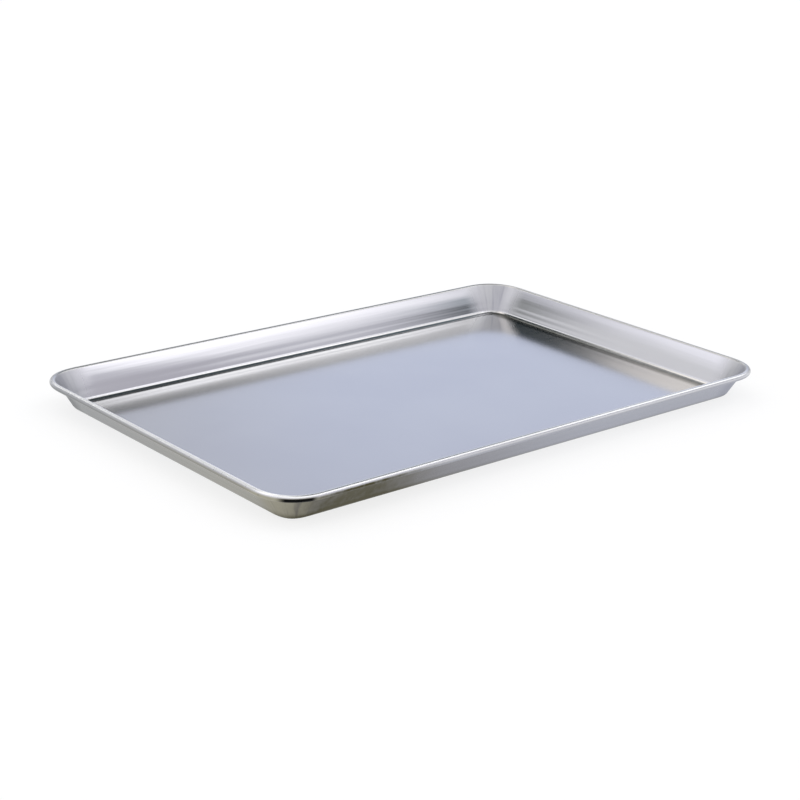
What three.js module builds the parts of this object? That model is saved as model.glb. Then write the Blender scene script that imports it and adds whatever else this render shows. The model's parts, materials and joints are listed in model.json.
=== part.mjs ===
// Oven tray: a pan pressed from one aluminium sheet, with its edge curled round a steel wire.
// Millimetres, +Z up, origin under the middle of the floor, +X along the long side.
import * as THREE from 'three';

// Driving dimensions
const trayLength = 600;
const trayWidth = 400;
const trayHeight = 30;
const sheetThickness = 1;
const wallLeanDegrees = 33;
const floorRounding = 6;
const floorCornerRadius = 13;
const wireDiameter = 3.5;
const wireClearance = 0.3;
const curlSlit = 0.5;
const wireJointGap = 1;

// How finely the round stretches are cut
const cornerSteps = 10;
const roundingSteps = 6;
const curlSteps = 20;
const wireSides = 12;

// The curl: its centre lies one outer radius in from the tray's outline and down from its top
const wallLean = THREE.MathUtils.degToRad(wallLeanDegrees);
const wireRadius = wireDiameter / 2;
const curlInnerRadius = wireRadius + wireClearance;
const curlOuterRadius = curlInnerRadius + sheetThickness;
const curlCentre = new THREE.Vector2(curlOuterRadius, trayHeight - curlOuterRadius);

// The curl starts where the wall runs into it and stops a slit short of the wall's outer face
const curlStart = wallLean;
const curlEnd = wallLean + 2 * Math.PI - Math.acos((curlInnerRadius - curlSlit) / curlOuterRadius);

// The rounding between floor and wall touches both, so its centre follows from the wall's slope
const roundingHeight = sheetThickness + floorRounding;
const wallRun = curlOuterRadius + floorRounding + (curlCentre.y - roundingHeight) * Math.sin(wallLean);
const roundingCentre = new THREE.Vector2(curlCentre.x + wallRun / Math.cos(wallLean), roundingHeight);
const roundingFloor = -Math.PI / 2;
const roundingWall = wallLean - Math.PI;

// Seen from above, all outlines of the tray turn their corners about the same four centres
const rimCornerRadius = floorCornerRadius + roundingCentre.x;
const cornerCentre = new THREE.Vector2(trayLength / 2 - rimCornerRadius, trayWidth / 2 - rimCornerRadius);

// Points of an arc in a section, where x is the inset from the tray's outline and y the height
function arcPoints(centre, radius, fromAngle, toAngle, steps) {
  const clockwise = toAngle < fromAngle;
  const arc = new THREE.EllipseCurve(centre.x, centre.y, radius, radius, fromAngle, toAngle, clockwise);
  return arc.getPoints(steps);
}

// The sheet's section, from the floor's underside out, up the wall, round the curl and back to the floor's top
function panSection() {
  return [
    ...arcPoints(roundingCentre, floorRounding + sheetThickness, roundingFloor, roundingWall, roundingSteps),
    ...arcPoints(curlCentre, curlInnerRadius, curlStart, curlEnd, curlSteps),
    ...arcPoints(curlCentre, curlOuterRadius, curlEnd, curlStart, curlSteps),
    ...arcPoints(roundingCentre, floorRounding, roundingWall, roundingFloor, roundingSteps),
  ];
}

// The wire's round section, in the middle of the curl
function wireSection() {
  return arcPoints(curlCentre, wireRadius, 2 * Math.PI, 0, wireSides).slice(0, wireSides);
}

// A station is a place on the way round the tray: a centre to measure from and the outward direction
function station(centreX, centreY, angle) {
  return {
    centre: new THREE.Vector2(centreX, centreY),
    outward: new THREE.Vector2(Math.cos(angle), Math.sin(angle)),
  };
}

// Stations round the four corners, anticlockwise from the middle of the side at +Y
function cornerStations() {
  const stations = [];
  for (let corner = 0; corner < 4; corner += 1) {
    const firstAngle = (corner + 1) * Math.PI / 2;
    const signX = corner < 2 ? -1 : 1;
    const signY = corner === 1 || corner === 2 ? -1 : 1;
    for (let step = 0; step <= cornerSteps; step += 1) {
      const angle = firstAngle + step / cornerSteps * Math.PI / 2;
      stations.push(station(signX * cornerCentre.x, signY * cornerCentre.y, angle));
    }
  }
  return stations;
}

// Lays a section at every station and joins neighbouring sections with a skin of triangles
function sweepSection(section, stations, sectionLoops, stationsLoop) {
  const positions = [];
  for (const { centre, outward } of stations) {
    for (const point of section) {
      const plan = centre.clone().addScaledVector(outward, rimCornerRadius - point.x);
      positions.push(plan.x, plan.y, point.y);
    }
  }
  const index = [];
  const rows = stationsLoop ? stations.length : stations.length - 1;
  const columns = sectionLoops ? section.length : section.length - 1;
  for (let row = 0; row < rows; row += 1) {
    const here = row * section.length;
    const next = (row + 1) % stations.length * section.length;
    for (let column = 0; column < columns; column += 1) {
      const beside = (column + 1) % section.length;
      index.push(here + column, next + column, next + beside);
      index.push(here + column, next + beside, here + beside);
    }
  }
  return { positions, index };
}

// Closes a ring of the skin with a fan of triangles about a middle point
function closeRing(skin, ring, middle) {
  const middleVertex = skin.positions.length / 3;
  skin.positions.push(middle.x, middle.y, middle.z);
  ring.forEach((vertex, place) => {
    skin.index.push(middleVertex, vertex, ring[(place + 1) % ring.length]);
  });
}

function geometryOf(skin) {
  const geometry = new THREE.BufferGeometry();
  geometry.setAttribute('position', new THREE.Float32BufferAttribute(skin.positions, 3));
  geometry.setIndex(skin.index);
  geometry.computeVertexNormals();
  return geometry;
}

// The pan: the sheet's section carried right round, with the floor closed above and below
function panGeometry() {
  const section = panSection();
  const stations = cornerStations();
  const skin = sweepSection(section, stations, false, true);
  const underside = stations.map((_, row) => row * section.length);
  const floorTop = underside.map((vertex) => vertex + section.length - 1);
  closeRing(skin, underside.toReversed(), new THREE.Vector3(0, 0, 0));
  closeRing(skin, floorTop, new THREE.Vector3(0, 0, sheetThickness));
  return geometryOf(skin);
}

// The wire: one loop inside the curl, whose two ends meet with a small gap in the side at +Y
function wireGeometry() {
  const section = wireSection();
  const stations = [
    station(-wireJointGap / 2, cornerCentre.y, Math.PI / 2),
    ...cornerStations(),
    station(wireJointGap / 2, cornerCentre.y, Math.PI / 2),
  ];
  const skin = sweepSection(section, stations, true, false);
  const firstEnd = section.map((_, column) => column);
  const lastEnd = firstEnd.map((vertex) => vertex + (stations.length - 1) * section.length);
  const wireY = trayWidth / 2 - curlCentre.x;
  closeRing(skin, firstEnd, new THREE.Vector3(-wireJointGap / 2, wireY, curlCentre.y));
  closeRing(skin, lastEnd.toReversed(), new THREE.Vector3(wireJointGap / 2, wireY, curlCentre.y));
  return geometryOf(skin);
}

function namedMesh(name, geometry, finish) {
  const mesh = new THREE.Mesh(geometry, new THREE.MeshStandardMaterial(finish));
  mesh.name = name;
  return mesh;
}

const satinAluminium = { color: '#b7bac3', roughness: 0.35, metalness: 1 };
const galvanisedSteel = { color: '#8d9194', roughness: 0.5, metalness: 1 };

const ovenTray = new THREE.Group();
ovenTray.add(namedMesh('tray_pan', panGeometry(), satinAluminium));
ovenTray.add(namedMesh('rim_wire', wireGeometry(), galvanisedSteel));

export default ovenTray;
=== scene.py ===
# %% [markdown]
# # Oven tray
# A bakery tray is a pan pressed from one aluminium sheet, with its edge curled round a steel wire. This
# lesson models the thin sheet at its real size over the packed frame, gives it the worn satin finish of
# such a tray, and lights it so that the metal has something worth reflecting. The frame holds the tray's
# exact solids. It is loaded first, because everything else is measured from it.

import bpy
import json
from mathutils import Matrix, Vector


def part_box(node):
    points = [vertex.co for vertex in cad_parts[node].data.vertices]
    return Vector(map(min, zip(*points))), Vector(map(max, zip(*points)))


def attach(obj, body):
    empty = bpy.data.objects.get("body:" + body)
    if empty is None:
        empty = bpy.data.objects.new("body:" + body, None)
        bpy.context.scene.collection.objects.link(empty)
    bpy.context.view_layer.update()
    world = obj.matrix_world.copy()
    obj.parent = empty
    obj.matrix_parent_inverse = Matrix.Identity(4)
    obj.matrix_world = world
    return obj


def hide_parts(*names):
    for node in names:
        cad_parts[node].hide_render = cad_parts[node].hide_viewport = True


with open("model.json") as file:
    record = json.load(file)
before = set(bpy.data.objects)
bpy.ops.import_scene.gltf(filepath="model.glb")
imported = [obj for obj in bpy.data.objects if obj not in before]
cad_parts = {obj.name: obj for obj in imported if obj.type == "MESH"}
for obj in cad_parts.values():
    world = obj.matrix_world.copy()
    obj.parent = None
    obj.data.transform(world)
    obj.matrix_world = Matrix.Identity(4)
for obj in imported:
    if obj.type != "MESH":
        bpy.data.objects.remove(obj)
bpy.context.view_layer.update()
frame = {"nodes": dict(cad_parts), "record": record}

# %% Modules for shapes, sums and files
import json
import math
from types import SimpleNamespace

import bmesh
import bpy
from mathutils import Matrix, Vector

print("Blender", bpy.app.version_string)

# %% [markdown]
# ## Sizes
# The pan's box gives the outline, the wire's box gives the wire, and what lies between the two boxes is
# the sheet and its clearance. These sizes could be typed in again, but measured from the frame they keep
# the looks on the construction. What no box shows, such as the lean of the walls, belongs to the press's
# die and is named here.

# %% Sizes taken from the frame, in metres
MM = 0.001
pan_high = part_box("tray_pan")[1]
wire_low, wire_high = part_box("rim_wire")
mount_heights = {mount["name"]: mount["pos_m"][2] for mount in frame["record"]["mounts"]}

HALF_LENGTH = pan_high.x
HALF_WIDTH = pan_high.y
HEIGHT = pan_high.z
SHEET = mount_heights["baking_floor"]
WIRE_RADIUS = (wire_high.z - wire_low.z) / 2
CURL_RADIUS = WIRE_RADIUS + pan_high.x - wire_high.x
print("sheet", SHEET, "wire radius", WIRE_RADIUS, "curl radius", CURL_RADIUS)

# %% Sizes of the pressing, in metres
WALL_LEAN = math.radians(33)
FLOOR_ROUNDING = 6 * MM
FLOOR_CORNER = 13 * MM

curl_height = HEIGHT - CURL_RADIUS
rounding_height = SHEET + FLOOR_ROUNDING
wall_run = CURL_RADIUS + FLOOR_ROUNDING + (curl_height - rounding_height) * math.sin(WALL_LEAN)
floor_inset = CURL_RADIUS + wall_run / math.cos(WALL_LEAN)
RIM_CORNER = FLOOR_CORNER + floor_inset
CORNER_X = HALF_LENGTH - RIM_CORNER
CORNER_Y = HALF_WIDTH - RIM_CORNER
print("floor inset", floor_inset, "rim corner radius", RIM_CORNER)

# %% [markdown]
# ## The section of the sheet
# A tray is the same section all the way round: floor, rounding, wall, curl. Pressed sheet springs back,
# so the wall flares a little towards its free edge and the tight rounding eases gently into the floor.
# Those slow bends are what turn flat reflections into gradients. A faint draw line, pressed in by the
# edge of the die, runs along the lower wall. The section could be drawn by eye as a curve, but it has to
# follow the frame closely, so it is worked out as pairs of inset from the outline and height.

# %% Curves of the section
WALL_FLARE = math.radians(4)
WALL_STEPS = 36
DRAW_LINE_HEIGHT = 10 * MM
DRAW_LINE_WIDTH = 2 * MM
DRAW_LINE_DEPTH = 0.08 * MM


def arc(inset, height, radius, start, end, steps):
    """Points on a round stretch of the section, ends included."""
    angles = [start + (end - start) * step / steps for step in range(steps + 1)]
    return [(inset + radius * math.cos(a), height + radius * math.sin(a)) for a in angles]


def draw_line(inset, height):
    """A point of the wall, sunk where the draw line passes."""
    depth = DRAW_LINE_DEPTH * math.exp(-((height - DRAW_LINE_HEIGHT) / DRAW_LINE_WIDTH) ** 2)
    return inset - depth * math.cos(WALL_LEAN), height - depth * math.sin(WALL_LEAN)


def flared_wall(top, bottom):
    """A gentle curve between the curl and the rounding, steeper at the foot than under the rim."""
    reach = math.dist(top, bottom) / 3
    top_lean = WALL_LEAN + WALL_FLARE
    foot_lean = WALL_LEAN - WALL_FLARE
    upper = (top[0] + reach * math.sin(top_lean), top[1] - reach * math.cos(top_lean))
    lower = (bottom[0] - reach * math.sin(foot_lean), bottom[1] + reach * math.cos(foot_lean))
    points = []
    for step in range(1, WALL_STEPS):
        t = step / WALL_STEPS
        weights = ((1 - t) ** 3, 3 * t * (1 - t) ** 2, 3 * t * t * (1 - t), t ** 3)
        pulls = list(zip(weights, (top, upper, lower, bottom)))
        inset, height = (sum(weight * point[axis] for weight, point in pulls) for axis in (0, 1))
        points.append(draw_line(inset, height))
    return points


print("wall leans", round(math.degrees(WALL_LEAN - WALL_FLARE), 1), "degrees at its foot and",
      round(math.degrees(WALL_LEAN + WALL_FLARE), 1), "under the rim")

# %% The section as steps of inset and height
OUTWARDS = math.pi
DOWNWARDS = 1.5 * math.pi
FULL_TURN = 2 * math.pi
CURL_STEPS = 16
ROUNDING_STEPS = 10
EASE_STEPS = 8
EASE_RADIUS = 10 * MM
EASE_SLOPE = math.radians(20)
FLOOR_HOLD = (0.7 * MM, 2 * MM)
CURL_SLIT = 0.5 * MM

over_rim = arc(CURL_RADIUS, curl_height, CURL_RADIUS, OUTWARDS, WALL_LEAN + WALL_FLARE, CURL_STEPS)
ease_spread = EASE_RADIUS - FLOOR_ROUNDING
foot_lift = ease_spread * (1 - math.cos(EASE_SLOPE))
foot_inset = floor_inset - foot_lift * math.tan(WALL_LEAN)
rounding = arc(foot_inset, rounding_height + foot_lift, FLOOR_ROUNDING,
               OUTWARDS + WALL_LEAN - WALL_FLARE, DOWNWARDS - EASE_SLOPE, ROUNDING_STEPS)
ease_inset = foot_inset + ease_spread * math.sin(EASE_SLOPE)
ease = arc(ease_inset, SHEET + EASE_RADIUS, EASE_RADIUS, DOWNWARDS - EASE_SLOPE, DOWNWARDS, EASE_STEPS)
wall = flared_wall(over_rim[-1], rounding[0])
floor_hold = [(ease_inset + hold, SHEET) for hold in FLOOR_HOLD]
upper_section = over_rim + wall + rounding + ease[1:] + floor_hold

curl_gap = math.acos((CURL_RADIUS - SHEET - CURL_SLIT) / CURL_RADIUS)
curl_end = FULL_TURN + WALL_LEAN - curl_gap
under_rim = arc(CURL_RADIUS, curl_height, CURL_RADIUS, OUTWARDS, curl_end, CURL_STEPS)
print("section steps:", len(upper_section), "over and", len(under_rim), "under the rim")

# %% [markdown]
# ## Pressing the sheet
# A real tray starts as a flat blank that a press pushes into a die. Here it starts as a flat plate too.
# The plate's corners are bevelled, its straight sides are cut into short lengths, and then the face is
# inset again and again, each time a little inwards and up or down, until it has followed the section to
# the floor. A second plate, facing down, makes the underside of the curl the same way, and the two are
# welded along the widest line of the rim. The section could also be swept along a curve, but insets keep
# the same distance from the outline all round, in the corners too, and this is how it would be done by
# hand.

# %% A plate with the outline of the rim
# The corner is softer than a round one: it starts earlier and stands out more in its middle
CORNER_STEPS = 28
CORNER_SOFTNESS = 1.134
CORNER_REACH = CORNER_SOFTNESS * RIM_CORNER
CORNER_PROFILE = 0.55
LONG_CUTS = 39
SHORT_CUTS = 25


def is_straight_side(edge, axis, side):
    """Tells whether an edge is the plate's straight one along an axis, on one side of the middle."""
    first, last = (vertex.co for vertex in edge.verts)
    on_side = first[1 - axis] * side > 0 and last[1 - axis] * side > 0
    return on_side and abs(first[axis] - last[axis]) > RIM_CORNER


def select_edges(mesh, chosen):
    """Selects the edges of the mesh in edit mode that pass a test, and nothing else."""
    bpy.ops.mesh.select_all(action="DESELECT")
    bpy.ops.mesh.select_mode(type="EDGE")
    shape = bmesh.from_edit_mesh(mesh)
    for edge in shape.edges:
        edge.select_set(chosen(edge))
    bmesh.update_edit_mesh(mesh)


def add_plate(name, height):
    """A flat plate with the outline of the rim: a plane, stretched, with its corners rounded."""
    bpy.ops.object.select_all(action="DESELECT")
    bpy.ops.mesh.primitive_plane_add(size=1, location=(0, 0, 0))
    plate = bpy.context.object
    plate.name = name
    plate.data.name = name
    bpy.ops.object.mode_set(mode="EDIT")
    bpy.ops.mesh.select_all(action="SELECT")
    bpy.ops.transform.resize(value=(2 * HALF_LENGTH, 2 * HALF_WIDTH, 1))
    bpy.ops.transform.translate(value=(0, 0, height))
    bpy.ops.mesh.bevel(offset=CORNER_REACH, segments=CORNER_STEPS, affect="VERTICES",
                       profile=CORNER_PROFILE)
    for axis, cuts in ((0, LONG_CUTS), (1, SHORT_CUTS)):
        for side in (-1, 1):
            select_edges(plate.data, lambda edge: is_straight_side(edge, axis, side))
            bpy.ops.mesh.subdivide(number_cuts=cuts)
    bpy.ops.mesh.select_mode(type="FACE")
    bpy.ops.mesh.select_all(action="SELECT")
    print(name, "starts as a plate with", len(bmesh.from_edit_mesh(plate.data).verts), "points round it")
    return plate


# %% Press the two plates and weld them
WELD_DISTANCE = 0.001 * MM


def press_along(section, direction):
    """Insets the selected face step by step along a section. Direction is 1 for a face that looks up."""
    for (inset, height), (next_inset, next_height) in zip(section, section[1:]):
        bpy.ops.mesh.inset(thickness=next_inset - inset, depth=direction * (next_height - height),
                           use_even_offset=True, use_boundary=True)


under_plate = add_plate("curl_underside", curl_height)
bpy.ops.mesh.flip_normals()
press_along(under_rim, -1)
bpy.ops.mesh.delete(type="FACE")
bpy.ops.object.mode_set(mode="OBJECT")

pan = add_plate("tray_pan_sheet", curl_height)
press_along(upper_section, 1)
bpy.ops.object.mode_set(mode="OBJECT")

under_plate.select_set(True)
pan.select_set(True)
bpy.context.view_layer.objects.active = pan
bpy.ops.object.join()
bpy.ops.object.mode_set(mode="EDIT")
bpy.ops.mesh.select_all(action="SELECT")
bpy.ops.mesh.remove_doubles(threshold=WELD_DISTANCE)
bpy.ops.object.mode_set(mode="OBJECT")
print("sheet:", len(pan.data.vertices), "vertices,", len(pan.data.polygons), "faces")

# %% [markdown]
# ## Thickness
# The sheet so far is a skin. Its lower side could be pressed as one more plate, but that plate would
# have to match the first step by step. Solidify gives the skin its real gauge on the lower side, so the
# floor's top, the inside of the walls and the outside of the curl stay where they were pressed.

# %% Give the sheet its gauge
SMOOTH_ANGLE = math.radians(40)

bpy.ops.object.select_all(action="DESELECT")
pan.select_set(True)
bpy.context.view_layer.objects.active = pan
gauge = pan.modifiers.new("gauge", "SOLIDIFY")
gauge.thickness = SHEET
gauge.offset = -1
gauge.use_even_offset = True
bpy.ops.object.modifier_apply(modifier=gauge.name)
bpy.ops.object.shade_smooth_by_angle(angle=SMOOTH_ANGLE)
print("pan:", len(pan.data.polygons), "faces, box", tuple(pan.dimensions))

# %% [markdown]
# ## Writing finishes
# A finish is a graph of shader nodes. Written out node by node it is hard to read, so one small class
# wraps a socket and turns Python arithmetic into Math nodes, and one method adds any other node.

# %% A number that changes over a surface
class Wave:
    """A number that changes over a surface. Arithmetic on it adds Math nodes."""

    def __init__(self, finish, socket):
        self.finish = finish
        self.socket = socket

    def math(self, operation, *values):
        return self.finish.node("ShaderNodeMath", {"operation": operation}, dict(enumerate(values)))

    def __add__(self, other):
        return self.math("ADD", self, other)

    def __sub__(self, other):
        return self.math("SUBTRACT", self, other)

    def __rsub__(self, other):
        return self.math("SUBTRACT", other, self)

    def __mul__(self, other):
        return self.math("MULTIPLY", self, other)

    def __truediv__(self, other):
        return self.math("DIVIDE", self, other)

    def __pow__(self, other):
        return self.math("POWER", self, other)

    __radd__ = __add__
    __rmul__ = __mul__

    def size(self):
        return self.math("ABSOLUTE", self)

    def sign(self):
        return self.math("SIGN", self)

    def at_least(self, least):
        return self.math("MAXIMUM", self, least)

    def clipped(self):
        return self.finish.node("ShaderNodeClamp", {}, {"Value": self})

    def between(self, low, high):
        """0 below low, 1 above high and a smooth rise between them."""
        return self.finish.node("ShaderNodeMapRange", {"interpolation_type": "SMOOTHSTEP"},
                                {"Value": self, "From Min": low, "From Max": high})


print("besides sums, a wave has:", ", ".join(name for name in vars(Wave) if name[0] != "_"))

# %% A finish and its nodes
class Finish:
    """A material, or the world, whose nodes are added by one method."""

    def __init__(self, owner):
        owner.use_nodes = True
        self.tree = owner.node_tree
        self.tree.nodes.clear()

    def node(self, kind, settings=None, sockets=None, output=0):
        """Adds a node: its settings first, then the values or links of its sockets."""
        made = self.tree.nodes.new(kind)
        for name, value in (settings or {}).items():
            setattr(made, name, value)
        for key, value in (sockets or {}).items():
            if isinstance(value, Wave):
                self.tree.links.new(value.socket, made.inputs[key])
            else:
                made.inputs[key].default_value = value
        return Wave(self, made.outputs[output]) if made.outputs else None

    def place(self):
        return self.node("ShaderNodeTexCoord", output="Object")

    def split(self, vector):
        made = self.node("ShaderNodeSeparateXYZ", {}, {"Vector": vector})
        outputs = made.socket.node.outputs
        return [Wave(self, outputs[axis]) for axis in "XYZ"]

    def joined(self, x, y, z):
        return self.node("ShaderNodeCombineXYZ", {}, {"X": x, "Y": y, "Z": z})

    def noise(self, place, stretch, detail=2.0, roughness=0.5):
        """Soft noise from 0 to 1, with stretch features a metre along each axis."""
        scaled = self.node("ShaderNodeMapping", {}, {"Vector": place, "Scale": stretch})
        return self.node("ShaderNodeTexNoise", {"noise_dimensions": "3D"},
                         {"Vector": scaled, "Scale": 1.0, "Detail": detail, "Roughness": roughness})

    def mixed(self, share, first, second):
        """A colour between two colours."""
        return self.node("ShaderNodeMix", {"data_type": "RGBA"},
                         {"Factor": share, "A": first, "B": second}, output="Result")


print("a finish can make:", ", ".join(name for name in vars(Finish) if name[0] != "_"))

# %% [markdown]
# ## Satin aluminium: places and textures
# Mill finish sheet has fine rolling grain along its length. Pressing leaves faint ripples along the
# walls, drags upright streaks into the corners, where the sheet was squeezed, and crowns the floor,
# which falls away a little towards its long edges. One image could be painted for all this, but a
# picture would stretch over the bends, so the finish is worked out from the place on the tray. First
# come numbers that tell where a place lies.

# %% Measure a place on the tray
CENTRE_GUARD = 0.01 * MM


def measure_place(finish):
    """Where a place lies, how far it is from the rim's wire, and which way it faces."""
    place = finish.place()
    x, y, z = finish.split(place)
    facing_x, facing_y, facing_up = finish.split(finish.node("ShaderNodeTexCoord", output="Normal"))
    beyond_x = x.size() - CORNER_X
    beyond_y = y.size() - CORNER_Y
    past_x = beyond_x.at_least(0)
    past_y = beyond_y.at_least(0)
    reach = (past_x * past_x + past_y * past_y) ** 0.5
    to_wire = ((RIM_CORNER - CURL_RADIUS - reach) ** 2 + (z - curl_height) ** 2) ** 0.5
    outward = facing_x * x.sign() * past_x + facing_y * y.sign() * past_y
    return SimpleNamespace(
        place=place, x=x, y=y, z=z, beyond_x=beyond_x, beyond_y=beyond_y, facing_up=facing_up,
        from_wire=to_wire / CURL_RADIUS, outward=outward / reach.at_least(MM),
        turn=past_y.math("ARCTAN2", past_y, past_x + CENTRE_GUARD))


print("corners turn about", (round(CORNER_X, 4), round(CORNER_Y, 4)))

# %% Tell the tray's zones apart
# Distances from the wire are in curl radii, facing and outward are parts of the surface's normal
RIM_REACH = (1.15, 1.3)
RIM_INWARD = (0.68, 0.80)
OUTSIDE_OUTWARD = (0.2, 0.4)
NEAR_END = (CORNER_X, CORNER_X + 14 * MM)
UNDER_END_FACING = (-0.05, 0.75)
UNDER_SIDE_FACING = (-0.7, 0.6)
UNDERSIDE_FACING = (0, 0.5)
FLOOR_HEIGHTS = (1.2 * SHEET, 5 * SHEET)
CORNER_BLEND = (-22 * MM, 6 * MM)


def add_zones(on):
    """Shares from 0 to 1 that tell rim, outside, floor, walls and corners apart."""
    on.rim = (1 - on.from_wire.between(*RIM_REACH)) * (1 - (on.outward * -1).between(*RIM_INWARD))
    on.outside = on.outward.between(*OUTSIDE_OUTWARD) * (1 - on.rim)
    on.near_end = (on.x * -1).between(*NEAR_END)
    under_end = on.near_end * (1 - on.facing_up.between(*UNDER_END_FACING))
    under_sides = (1 - on.near_end) * (1 - on.facing_up.between(*UNDER_SIDE_FACING))
    on.under_curl = on.rim * (under_end + under_sides)
    on.crown = on.rim * (1 - on.under_curl)
    on.soiled = (on.outside + on.rim * (1 - on.facing_up.between(*UNDERSIDE_FACING))).clipped()
    on.floor = 1 - on.z.between(*FLOOR_HEIGHTS)
    on.wall = (1 - on.floor) * (1 - on.rim)
    on.corner = on.beyond_x.between(*CORNER_BLEND) * on.beyond_y.between(*CORNER_BLEND)
    on.squeezed = on.corner * on.wall


print("the rim's zone ends", RIM_REACH[0], "to", RIM_REACH[1], "curl radii from the wire's middle")

# %% Grain, ripples and strokes
NOISE_MIDDLE = 0.5
# Features a metre along x, y and z
GRAIN = (5, 1100, 60)
BLOOM = (7, 7, 20)
RIPPLE = (4, 4, 150)
SWAY = (8, 8, 8)
BLOTCHES = (110, 110, 60)
# Strokes of a corner: features a radian round it and a metre up it, and steps that keep corners different
STROKES_ROUND = 4
STROKES_UP = 14
CORNER_STEP_X = 3
CORNER_STEP_Y = 7


def add_textures(finish, on):
    """Noises over the sheet, each from 0 to 1."""
    on.grain = finish.noise(on.place, GRAIN, detail=3, roughness=0.6)
    on.bloom = finish.noise(on.place, BLOOM, detail=3)
    on.ripple = finish.noise(on.place, RIPPLE)
    on.sway = finish.noise(on.place, SWAY, detail=1)
    on.blotches = finish.noise(on.place, BLOTCHES, detail=4, roughness=0.65)
    which_corner = on.x.sign() * CORNER_STEP_X + on.y.sign() * CORNER_STEP_Y
    round_corner = finish.joined(on.turn * STROKES_ROUND, on.z * STROKES_UP, which_corner)
    on.strokes = finish.noise(round_corner, (1, 1, 1), detail=3, roughness=0.55)


print("rolling grain:", GRAIN[1], "lines a metre across and", GRAIN[0], "along")

# %% [markdown]
# ## Satin aluminium: darker outside and painted shade
# The outside is darker grey and dark olive towards one corner, with dark streaks there. Painted shade
# darkens the near long side's outside at its foot and lower edge, the slit under the curl by that corner,
# and the crease at the foot of one short side. Such marks could be scattered at random, but each has its
# place, so each gets a stretch of the tray of its own.

# %% Darker grey and dark olive by the front corner, and painted shade at the foot
# Stretches along x and y, in metres, over which a mark comes in or ends
CORNER_TIP = (-0.29, -0.225)
NEAR_SIDE = (-0.195, -0.08)
NEAR_FOOT = (-0.19, -0.12)
FRONT_GREY_END = (-0.20, 0.10)
FRONT_STREAKS_END = (-0.22, -0.20)
OLIVE_END = (-0.215, -0.105)
FOOT_END = (-0.22, 0.0)
FOOT_HEIGHTS = (0, 9 * MM)
EDGE_HEIGHTS = (1.5 * MM, 6 * MM)
FRONT_STREAK_STROKES = (0, 0.15)
FRONT_GREY_ON_TIP, FRONT_GREY_OFF_TIP, FRONT_GREY_STREAKED = 0.06, 0.79, 0.55
OLIVE_ON_TIP, OLIVE_OFF_TIP = 0.16, 0.84
# The foot and edge shares are painted shade at the bottom of the near outside
OLIVE_EVEN, OLIVE_BLOTCHY, FOOT_SHADE, EDGE_SHADE = 0.40, 1.2, 0.5, 0.34


def add_front_darkening(on):
    """Shares of darker grey and dark olive on the outside, and of painted shade at its foot and lower edge.
    """
    off_tip = on.x.between(*CORNER_TIP)
    near_side = 1 - on.y.between(*NEAR_SIDE)
    near_foot = 1 - on.y.between(*NEAR_FOOT)
    hazy = (FRONT_GREY_ON_TIP + FRONT_GREY_OFF_TIP * off_tip) * (1 - on.x.between(*FRONT_GREY_END))
    front_streaks = (NOISE_MIDDLE - on.strokes).between(*FRONT_STREAK_STROKES) * (1 - on.x.between(*FRONT_STREAKS_END))
    on.tarnish = (hazy * near_side * on.outside
                  + front_streaks * on.corner * near_side * on.soiled * FRONT_GREY_STREAKED).clipped()
    front_olive = (OLIVE_ON_TIP + OLIVE_OFF_TIP * off_tip) * (1 - on.x.between(*OLIVE_END)) * near_side
    # Painted shade: the near outside darkens at its foot and along its lower edge
    foot = (1 - on.z.between(*FOOT_HEIGHTS)) * (1 - on.x.between(*FOOT_END)) * near_foot
    edge = (1 - on.z.between(*EDGE_HEIGHTS)) * near_foot
    on.stain = (front_olive * on.soiled * (OLIVE_EVEN + on.blotches * OLIVE_BLOTCHY)
                + foot * on.soiled * FOOT_SHADE + edge * on.outside * EDGE_SHADE).clipped()


print("the stain fades out from", OLIVE_END[0], "to", OLIVE_END[1], "metres along the near long side")

# %% Painted shade in the slit under the curl and in the crease at the foot
# Turns are angles round a corner in radians, from its short side to its long side
SLIT_START = (0.52, 0.78)
SLIT_END = (1.32, 1.52)
FRONT_QUARTER = (-0.1, 0)
CREVICE_REACH = (1.2, 1.7)
CREVICE_FACING = (0.1, 0.55)
# Painted shade: a little all round under the curl, and almost all of it in the slit by the front corner
SLIT_SHADE_ALL_ROUND, SLIT_SHADE_AT_FRONT = 0.06, 0.94
CREASE_REACH = (CORNER_X + 2 * MM, CORNER_X + 11 * MM)
CREASE_FACING = (0, 0.2)
CREASE_HEIGHTS = (1.6 * SHEET, 2.4 * SHEET)
CREASE_SHADE_TO_BACK = (-0.05, 0.12)
# Shares of painted shade in the crease at the foot
CREASE_SHADE_EVEN, CREASE_SHADE_AT_BACK, CREASE_SHADE_BLOTCHY = 0.62, 0.2, 0.3


def add_painted_shade(on):
    """Shares of painted shade under the curl and in the crease along the far short side's foot."""
    front = (1 - on.x.between(*FRONT_QUARTER)) * (1 - on.y.between(*FRONT_QUARTER))
    slit = on.turn.between(*SLIT_START) * (1 - on.turn.between(*SLIT_END)) * front
    # Painted shade: the crevice under the curl is painted almost black, most in the slit by the front corner
    crevice = on.outside * (1 - on.from_wire.between(*CREVICE_REACH)) \
        + on.rim * (1 - on.facing_up.between(*CREVICE_FACING))
    on.grime = (crevice * (SLIT_SHADE_ALL_ROUND + SLIT_SHADE_AT_FRONT * slit)).clipped()
    # Painted shade: the crease at the far short side's foot is painted dark, more towards the back and in
    # blotches
    crease = on.x.between(*CREASE_REACH) * on.facing_up.between(*CREASE_FACING) \
        * (1 - on.z.between(*CREASE_HEIGHTS))
    towards_back = on.y.between(*CREASE_SHADE_TO_BACK)
    crease_darkness = CREASE_SHADE_EVEN + CREASE_SHADE_AT_BACK * towards_back + on.blotches * CREASE_SHADE_BLOTCHY
    on.crumbs = (crease * crease_darkness).clipped()


print("crumbs lie from x =", round(CREASE_REACH[0], 4), "on, up to", CREASE_HEIGHTS[1], "metres high")
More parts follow.
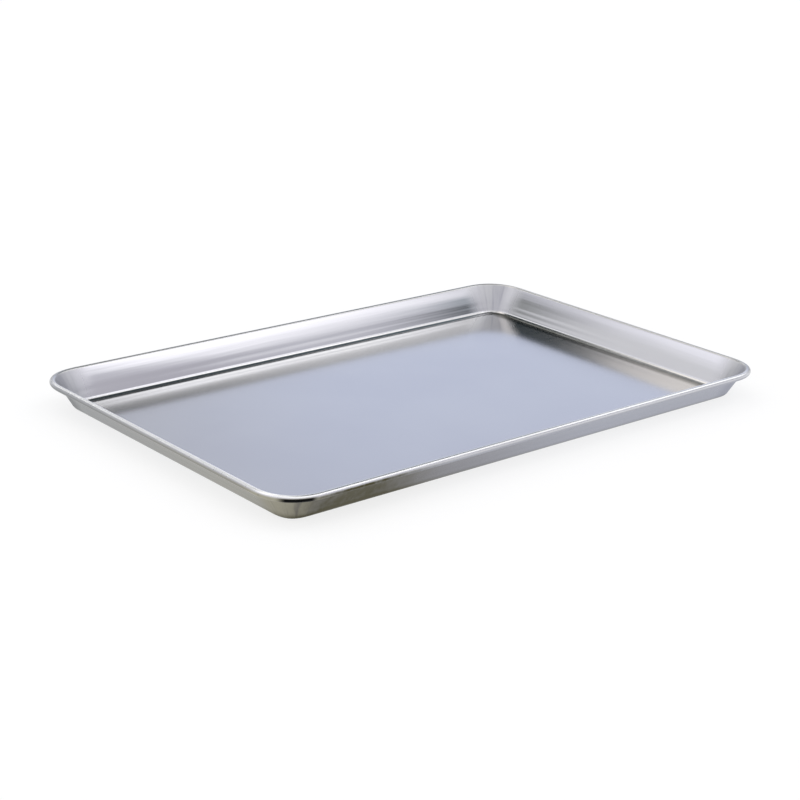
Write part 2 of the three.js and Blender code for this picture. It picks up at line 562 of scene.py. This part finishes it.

# %% [markdown]
# ## Satin aluminium: colours, gloss and relief
# The rim's crown is painted bright on the two near sides as painted light, with a painted highlight on some
# of them, and darker on the two far ones as painted shade. The outside is painted darker as shade, with
# tints of painted reflection, warmer on the near short side, and it turns olive at the front corner. One
# colour for all the metal would be simpler, but the tray's look needs these tones. The colours are laid over
# each other in this
# order: metal, the outside's painted shade, darker grey, dark olive with painted shade at the foot, and
# painted shade in the crease and the slit.

# %% Colours of the bare metal, with painted shade in the corners and painted light and shade on the crown
SATIN_DEEP, SATIN_PALE = (0.57, 0.57, 0.585, 1), (0.60, 0.60, 0.61, 1)
# Painted shade: the wall corners are painted this bluish grey, under the drawn streaks
CORNER_SHADE_GREY = (0.355, 0.355, 0.395, 1)
# The crown's colours are painted light and shade: darker on the far sides, lit and with a painted highlight
# on the near sides
CROWN_SHADED = (0.53, 0.53, 0.525, 1)
CROWN_LIT, CROWN_HIGHLIGHT = (0.79, 0.79, 0.795, 1), (0.90, 0.90, 0.91, 1)
BLOOM_SPREAD = (0.3, 0.7)
CORNER_MIDDLE = math.pi / 4
FLANK_TURN = (0.15, 0.65)
FLANK_SIDE = (-0.1, 0.1)
STREAK_TOP, STREAK_SPREAD = 0.52, (0, 0.25)
CORNER_SHADE_EVEN, CORNER_SHADE_FLANK, DRAWN_STREAKS = 0.32, 0.22, 0.50
NEAR_END_CROWN = (CORNER_X, CORNER_X + 20 * MM)
NEAR_SIDE_CROWN = (CORNER_Y, CORNER_Y + 20 * MM)
# Where the painted light on the near crown fades out, and where its painted highlight lies
LIT_END_FADE = (CORNER_Y + 8 * MM, CORNER_Y + 30 * MM)
LIT_SIDE_FADE = (CORNER_X + 10 * MM, CORNER_X + 28 * MM)
HIGHLIGHT_SIDE = (-0.06, 0.10)
HIGHLIGHT_END = (-0.18, 0.15)


def drawn_and_shaded_metal(finish, on):
    """Satin sheet, with painted shade in the corners and grey streaks where they were drawn."""
    satin = finish.mixed(on.bloom.between(*BLOOM_SPREAD), SATIN_DEEP, SATIN_PALE)
    flank = (on.turn - CORNER_MIDDLE).size().between(*FLANK_TURN) * on.x.between(*FLANK_SIDE)
    streaks = (STREAK_TOP - on.strokes).between(*STREAK_SPREAD)
    # An even share of painted shade fills the corners, less on the flanks of the corners at positive x, and
    # the drawn streaks add to it
    drawn = CORNER_SHADE_EVEN - flank * CORNER_SHADE_FLANK + streaks * DRAWN_STREAKS
    return finish.mixed(drawn * on.squeezed, satin, CORNER_SHADE_GREY)


def crown_painted_light(finish, on):
    """The rim's crown: painted shade on the far sides, painted light on the near ones and a painted
    highlight on some of those.
    """
    # Painted light: the near sides' crown is painted bright with a painted highlight, and the far sides'
    # crown is painted darker as shade
    near_end = (on.x * -1).between(*NEAR_END_CROWN) * (1 - on.y.between(*LIT_END_FADE))
    near_side = (on.y * -1).between(*NEAR_SIDE_CROWN) * (1 - on.x.between(*LIT_SIDE_FADE))
    highlight = (on.x.between(*HIGHLIGHT_SIDE) + near_end * (1 - on.y.between(*HIGHLIGHT_END))).clipped()
    bright = finish.mixed(highlight, CROWN_LIT, CROWN_HIGHLIGHT)
    return finish.mixed((near_end + near_side).clipped(), CROWN_SHADED, bright)


print("satin", SATIN_DEEP[:3], "to", SATIN_PALE[:3])
print("crown", CROWN_SHADED[:3], "to", CROWN_HIGHLIGHT[:3])

# %% Colours of the outside's painted shade, of the darker grey and olive, and of painted shade in crease and slit
# Painted shade of the outside and the curl's underside, with tints of painted reflection
OUTSIDE_SHADE_SIDES = (0.40, 0.415, 0.48, 1)
OUTSIDE_SHADE_END_FRONT, OUTSIDE_SHADE_END_LEFT = (0.315, 0.308, 0.262, 1), (0.266, 0.275, 0.285, 1)
OUTSIDE_OLIVE = (0.45, 0.43, 0.345, 1)
FRONT_GREY = (0.185, 0.178, 0.178, 1)
DARK_OLIVE = (0.078, 0.071, 0.034, 1)
# Painted shade in the crease at the foot
CREASE_SHADE = (0.058, 0.060, 0.050, 1)
# Painted shade in the slit under the curl
SLIT_SHADE = (0.006, 0.006, 0.006, 1)
END_SHADE_SPREAD = (-0.19, 0.19)
OLIVE_ALONG_X = (-0.2, 0.2)
OLIVE_ALONG_Y = (-0.15, 0.15)


def outer_shade(finish, on):
    """Painted shade on the outside with tints of painted reflection: cool, and warmer on the near short
    side. It turns olive at the front corner.
    """
    # Painted shade: darker colours for the outside, bluish on the long sides and warmer on the near short
    # side
    end_shade = finish.mixed(on.y.between(*END_SHADE_SPREAD), OUTSIDE_SHADE_END_FRONT, OUTSIDE_SHADE_END_LEFT)
    outside_shade_colour = finish.mixed(on.near_end, OUTSIDE_SHADE_SIDES, end_shade)
    olive_share = on.corner * (1 - on.x.between(*OLIVE_ALONG_X)) * (1 - on.y.between(*OLIVE_ALONG_Y))
    return finish.mixed(olive_share, outside_shade_colour, OUTSIDE_OLIVE)


def pan_colour(finish, on):
    """Bare metal under the outside's painted shade, the darker grey, the dark olive and painted shade at the
    foot, in the crease and in the slit.
    """
    colour = finish.mixed(on.crown, drawn_and_shaded_metal(finish, on), crown_painted_light(finish, on))
    # The outside and the curl's underside take the painted shade
    shaded = (on.outside + on.under_curl).clipped()
    colour = finish.mixed(shaded, colour, outer_shade(finish, on))
    layers = ((on.tarnish, FRONT_GREY), (on.stain, DARK_OLIVE), (on.crumbs, CREASE_SHADE), (on.grime, SLIT_SHADE))
    for share, layer in layers:
        colour = finish.mixed(share, colour, layer)
    return colour


print("film on the sides", OUTSIDE_SHADE_SIDES[:3], "tarnish", FRONT_GREY[:3], "stain", DARK_OLIVE[:3])

# %% Gloss and relief
SATIN_ROUGH = 0.10
FLOOR_ROUGH, CORNER_ROUGH, RIM_ROUGH, OUTSIDE_ROUGH = 0.04, 0.28, 0.18, 0.15
GRAIN_ROUGH, BLOOM_ROUGH, OLIVE_AND_SHADE_ROUGH, SLIT_SHADE_ROUGH = 0.04, 0.05, 0.1, 0.2
GRAIN_HEIGHT = 0.003 * MM
RIPPLE_HEIGHT = 0.10 * MM
SWAY_HEIGHT = 0.15 * MM
STROKE_HEIGHT = 0.25 * MM
FLOOR_CROWN = 0.30 * MM


def pan_gloss(on):
    """Roughness: least on the flat satin, most in the drawn corners."""
    zones = on.floor * FLOOR_ROUGH + on.squeezed * CORNER_ROUGH \
        + on.rim * RIM_ROUGH + on.outside * OUTSIDE_ROUGH
    clouds = (on.grain - NOISE_MIDDLE) * GRAIN_ROUGH + (on.bloom - NOISE_MIDDLE) * BLOOM_ROUGH
    return SATIN_ROUGH + zones + clouds + on.stain * OLIVE_AND_SHADE_ROUGH + on.grime * SLIT_SHADE_ROUGH


def pan_relief(finish, on):
    """Grain, ripples of the walls, slow sway, strokes of the corners and the crown of the floor."""
    from_edge = ((CORNER_Y + FLOOR_CORNER - on.y.size()) / FLOOR_CORNER).clipped() * (math.pi / 2)
    crowned = on.floor * (1 - on.outside) * from_edge.math("SINE", from_edge)
    ripples = (on.ripple - NOISE_MIDDLE) * on.wall * (1 - on.corner)
    strokes = (on.strokes - NOISE_MIDDLE) * on.squeezed
    height = (on.grain - NOISE_MIDDLE) * GRAIN_HEIGHT + ripples * RIPPLE_HEIGHT \
        + (on.sway - NOISE_MIDDLE) * SWAY_HEIGHT + strokes * STROKE_HEIGHT + crowned * FLOOR_CROWN
    return finish.node("ShaderNodeBump", {}, {"Strength": 1.0, "Distance": 1.0, "Height": height})


relief_heights = (GRAIN_HEIGHT, RIPPLE_HEIGHT, SWAY_HEIGHT, STROKE_HEIGHT, FLOOR_CROWN)
print("highest relief of the finish:", max(relief_heights), "metres")

# %% Put the finish on the pan
def satin_aluminium():
    material = bpy.data.materials.new("satin_aluminium")
    finish = Finish(material)
    on = measure_place(finish)
    add_zones(on)
    add_textures(finish, on)
    add_front_darkening(on)
    add_painted_shade(on)
    metal = finish.node("ShaderNodeBsdfPrincipled", {}, {
        "Base Color": pan_colour(finish, on), "Metallic": 1.0, "Roughness": pan_gloss(on),
        "Normal": pan_relief(finish, on)})
    finish.node("ShaderNodeOutputMaterial", {}, {"Surface": metal})
    return material


pan.data.materials.clear()
pan.data.materials.append(satin_aluminium())
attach(pan, "root")
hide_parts("tray_pan")
print("pan finish:", len(pan.data.materials[0].node_tree.nodes), "nodes")

# %% [markdown]
# ## Galvanised wire
# The wire stiffens the rim. It is hidden in the curl but for a glint in the slit, so the frame's own
# wire stays and only gets a finish. A plain grey would do from afar. A cell pattern is hardly more work,
# and gives the glint the patchy grey of zinc crystals.

# %% The wire's finish
CRYSTAL_SCALE = 500.0
CRYSTAL_SPREAD = (0.1, 0.7)
ZINC_DARK, ZINC_PALE = (0.34, 0.36, 0.37, 1), (0.44, 0.46, 0.47, 1)
SMEAR = (300, 300, 300)
ZINC_ROUGH, SMEAR_ROUGH = 0.42, 0.16


def galvanised_steel():
    material = bpy.data.materials.new("galvanised_steel")
    finish = Finish(material)
    place = finish.place()
    crystals = finish.node("ShaderNodeTexVoronoi", {}, {"Vector": place, "Scale": CRYSTAL_SCALE},
                           output="Distance")
    smear = finish.noise(place, SMEAR, detail=3)
    metal = finish.node("ShaderNodeBsdfPrincipled", {}, {
        "Base Color": finish.mixed(crystals.between(*CRYSTAL_SPREAD), ZINC_DARK, ZINC_PALE),
        "Metallic": 1.0, "Roughness": ZINC_ROUGH + smear * SMEAR_ROUGH})
    finish.node("ShaderNodeOutputMaterial", {}, {"Surface": metal})
    return material


wire = frame["nodes"]["rim_wire"]
wire.data.materials.clear()
wire.data.materials.append(galvanised_steel())
print("wire finish:", len(wire.data.materials[0].node_tree.nodes), "nodes")

# %% [markdown]
# ## Camera
# The tray is seen from a corner, from a little above, through a long lens, and the picture is slightly
# rolled. A camera could be aimed by a tracking constraint, but that would keep the picture level, so the
# camera's three directions are worked out and written into its matrix.

# %% Camera
CAMERA_AZIMUTH = math.radians(-40.40)
CAMERA_ELEVATION = math.radians(19.25)
CAMERA_ROLL = math.radians(1.63)
CAMERA_DISTANCE = 1.793
CAMERA_PAN = (-7.82 * MM, 0.26 * MM)
CAMERA_LENS = 82.16
SENSOR_WIDTH = 36

back = Vector((math.sin(CAMERA_AZIMUTH) * math.cos(CAMERA_ELEVATION),
               -math.cos(CAMERA_AZIMUTH) * math.cos(CAMERA_ELEVATION),
               math.sin(CAMERA_ELEVATION)))
level_right = Vector((math.cos(CAMERA_AZIMUTH), math.sin(CAMERA_AZIMUTH), 0))
level_up = back.cross(level_right)
right = math.cos(CAMERA_ROLL) * level_right + math.sin(CAMERA_ROLL) * level_up
up = -math.sin(CAMERA_ROLL) * level_right + math.cos(CAMERA_ROLL) * level_up

bpy.ops.object.camera_add()
camera = bpy.context.object
camera.data.lens = CAMERA_LENS
camera.data.sensor_width = SENSOR_WIDTH
camera.matrix_world = Matrix((right, up, back)).transposed().to_4x4()
camera.location = back * CAMERA_DISTANCE + right * CAMERA_PAN[0] + up * CAMERA_PAN[1]
bpy.context.scene.camera = camera
print("camera at", tuple(round(part, 3) for part in camera.location), "lens", CAMERA_LENS, "mm")

# %% [markdown]
# ## Studio floor
# The tray stands on a pale floor that runs out of sight. White paint would be the plain way, but it
# would throw much light back up at the tray. So the paint is grey and takes the tray's shadow, and a
# glow that only the camera, mirrors and glass see lifts it to white. The floor lies a hair below the
# tray, so that the two never share a plane.

# %% Floor
GROUND_SIZE = 24
GROUND_DROP = 0.2 * MM
GROUND_PAINT = (0.25, 0.25, 0.25, 1)
WHITE = (1, 1, 1, 1)
GROUND_GLOW = 0.78

bpy.ops.object.select_all(action="DESELECT")
bpy.ops.mesh.primitive_plane_add(size=GROUND_SIZE, location=(0, 0, -GROUND_DROP))
ground = bpy.context.object
ground.name = "studio_floor"
ground_material = bpy.data.materials.new("studio_floor")
finish = Finish(ground_material)
camera_ray, glossy_ray, glass_ray = (
    finish.node("ShaderNodeLightPath", output=name)
    for name in ("Is Camera Ray", "Is Glossy Ray", "Is Transmission Ray"))
seen = (camera_ray + glossy_ray + glass_ray).clipped()
paint = finish.node("ShaderNodeBsdfDiffuse", {}, {"Color": GROUND_PAINT})
glow = finish.node("ShaderNodeEmission", {}, {"Color": WHITE, "Strength": GROUND_GLOW})
lifted = finish.node("ShaderNodeAddShader", {}, {0: paint, 1: glow})
ground_shader = finish.node("ShaderNodeMixShader", {}, {0: seen, 1: paint, 2: lifted})
finish.node("ShaderNodeOutputMaterial", {}, {"Surface": ground_shader})
ground.data.materials.append(ground_material)
print("floor:", GROUND_SIZE, "metres wide,", len(ground_material.node_tree.nodes), "nodes")

# %% [markdown]
# ## Studio room
# Polished metal shows its surroundings more than itself, so the room is most of the picture. Behind the
# tray hangs a pale lavender backdrop with dark gaps over it. A bright main panel stands at the right
# with a dark card below it, other panels stand at the back, at the left and overhead, and a white
# horizon meets the floor. They could be area lamps, but those have hard edges in a mirror, so the panels
# are drawn in the world, one laid over the other.

# %% The panels of the room
NEUTRAL = (1, 1, 1)
ROOM_TINT = (0.97, 0.97, 1.06)
COOL = (0.96, 0.98, 1.06)
LAVENDER = (0.88, 0.947, 1.165)
FAINT_LAVENDER = (0.985, 0.97, 1.07)
FAINT_BLUE = (0.985, 0.98, 1.05)
FAINT_VIOLET = (0.995, 0.985, 1.03)
BLUISH_WHITE = (0.99, 0.99, 1.03)
TEAL = (0.75, 0.98, 1.08)
DEEP_TEAL = (0.4, 1.0, 1.2)
SAGE = (0.96, 1.02, 0.95)
DEEP_SAGE = (0.92, 1.0, 0.95)
WARM = (1.05, 1.0, 0.94)
ROOM_LEVEL = 0.85
# Azimuths in degrees from +X towards +Y with their soft edge, elevations in degrees with the soft edges
# below and above, the level of light and its tint
room_panels = {
    "far wall": ((-36, 122, 14), (-95, 26, 1, 8), 0.62, COOL),
    "backdrop": ((36, 50, 14), (14, 18, 6, 14), 0.89, LAVENDER),
    "ceiling": ((-180, 180, 1), (60, 95, 8, 1), 1.10, NEUTRAL),
    "back ceiling": ((100, 150, 12), (63, 72, 4, 6), 0.75, NEUTRAL),
    "ceiling gap": ((4, 40, 14), (57, 80, 5, 8), 0.36, NEUTRAL),
    "camera wall": ((-180, -70, 12), (-10, 26, 1, 10), 0.88, NEUTRAL),
    "camera side": ((-112, -62, 10), (50, 60, 10, 8), 1.12, NEUTRAL),
    "main panel": ((-47, -38, 4.5), (42.6, 72, 13.5, 8), 1.87, FAINT_VIOLET),
    "side panel": ((-30, 2, 5), (33, 44, 5, 4), 1.40, NEUTRAL),
    "upper side panel": ((-26, 6, 8), (46, 54, 5, 5), 1.08, NEUTRAL),
    "bright strip": ((-18, -11.5, 9), (50.5, 58, 2.5, 4), 2.55, NEUTRAL),
    "back panel": ((58, 116, 6), (30, 47, 5, 4), 1.55, NEUTRAL),
    "gap over the backdrop": ((22, 48, 6), (36, 49, 5, 3), 0.26, TEAL),
    "dark gap above that": ((14, 56, 7), (50, 60, 6, 6), 0.05, TEAL),
    "gap in the back panel": ((74, 104, 6), (38, 48.4, 4, 1.6), 0.03, DEEP_TEAL),
    "warm panel": ((80, 136, 12), (50.6, 60, 1.5, 8), 1.58, WARM),
    "left wall": ((131, 180, 5), (18, 34, 6, 8), 1.00, BLUISH_WHITE),
    "left gap": ((114, 126.6, 2.6), (20, 30.5, 6, 4.5), 0.22, SAGE),
    "left gap's foot": ((114, 128.5, 2.5), (20, 27.5, 6, 3.5), 0.22, DEEP_SAGE),
    "left panel": ((127.5, 148, 4), (38.5, 46, 7, 6), 1.42, FAINT_BLUE),
    "dark card": ((-42.3, -34, 2.5), (16, 28.5, 4, 4), 0.07, TEAL),
    "dark card's top": ((-39, -33, 3), (29, 31.5, 3, 4.5), 0.33, TEAL),
    "right wall": ((-75, -52, 4), (20, 36, 5, 5), 0.70, FAINT_LAVENDER),
    "horizon": ((-180, 180, 1), (-95, 1.5, 1, 2), 1.00, NEUTRAL),
}
print("panels:", len(room_panels), "of levels", min(panel[2] for panel in room_panels.values()),
      "to", max(panel[2] for panel in room_panels.values()))

# %% World
world = bpy.data.worlds.new("studio")
bpy.context.scene.world = world
finish = Finish(world)
ray_x, ray_y, ray_up = finish.split(finish.node("ShaderNodeTexCoord", output="Generated"))
azimuth = ray_x.math("ARCTAN2", ray_y, ray_x) * math.degrees(1)
elevation = ray_up.math("ARCSINE", ray_up) * math.degrees(1)


def panel_share(across, upward):
    """How much of a panel is seen along a ray: 1 on the panel, 0 off it, and soft at its edges."""
    left, right, side = across
    low, high, below, above = upward
    off_middle = azimuth.math("WRAP", azimuth - (left + right) / 2, 180, -180).size()
    half = (right - left) / 2
    return (1 - off_middle.between(half, half + side)) * elevation.between(low - below, low) \
        * (1 - elevation.between(high, high + above))


def light_colour(level, tint):
    """The colour of a panel that shines with a level of light."""
    return tuple(level * part for part in tint) + (1,)


light = light_colour(ROOM_LEVEL, ROOM_TINT)
for across, upward, level, tint in room_panels.values():
    light = finish.mixed(panel_share(across, upward), light, light_colour(level, tint))
sky = finish.node("ShaderNodeBackground", {}, {"Color": light, "Strength": 1.0})
finish.node("ShaderNodeOutputWorld", {}, {"Surface": sky})
print("world:", len(world.node_tree.nodes), "nodes")

# %% [markdown]
# ## Closing
# The picture is shown with the plain display transform, so a colour comes out as it was mixed.

# %% Display transform
bpy.context.scene.view_settings.view_transform = "Standard"
